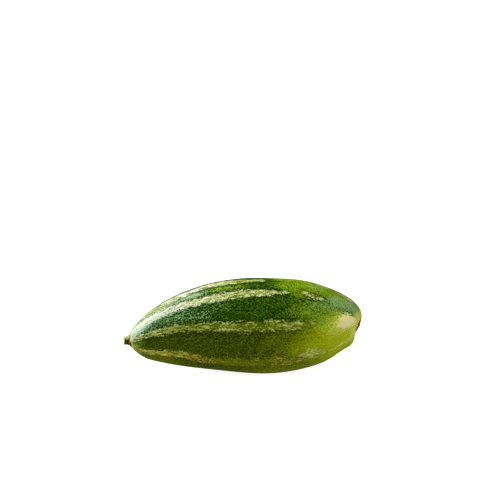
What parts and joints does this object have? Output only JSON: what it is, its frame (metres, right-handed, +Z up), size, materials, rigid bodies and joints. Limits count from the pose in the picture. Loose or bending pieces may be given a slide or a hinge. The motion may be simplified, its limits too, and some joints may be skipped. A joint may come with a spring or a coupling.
{
  "type": "pointed gourd",
  "caption": "Pointed gourd lying on its side: a slightly bent, spindle-shaped green striped fruit with soft ribs, the stub of its stalk and a dried blossom scar.",
  "frame": {"origin": "on the surface that the fruit lies on, under the middle of its length and width", "axes": "+X along the fruit from the stalk to the blossom end, +Z up, -Y the side that the picture shows"},
  "size_m": [0.0913, 0.037, 0.0364],
  "materials": {
    "skin": "satin",
    "dry_stalk": "matte",
    "corky_scar": "matte"
  },
  "bodies": {
    "root": {"fruit": "skin", "stem_stub": "dry_stalk", "blossom_scar": "corky_scar"}
  },
  "joints": []
}
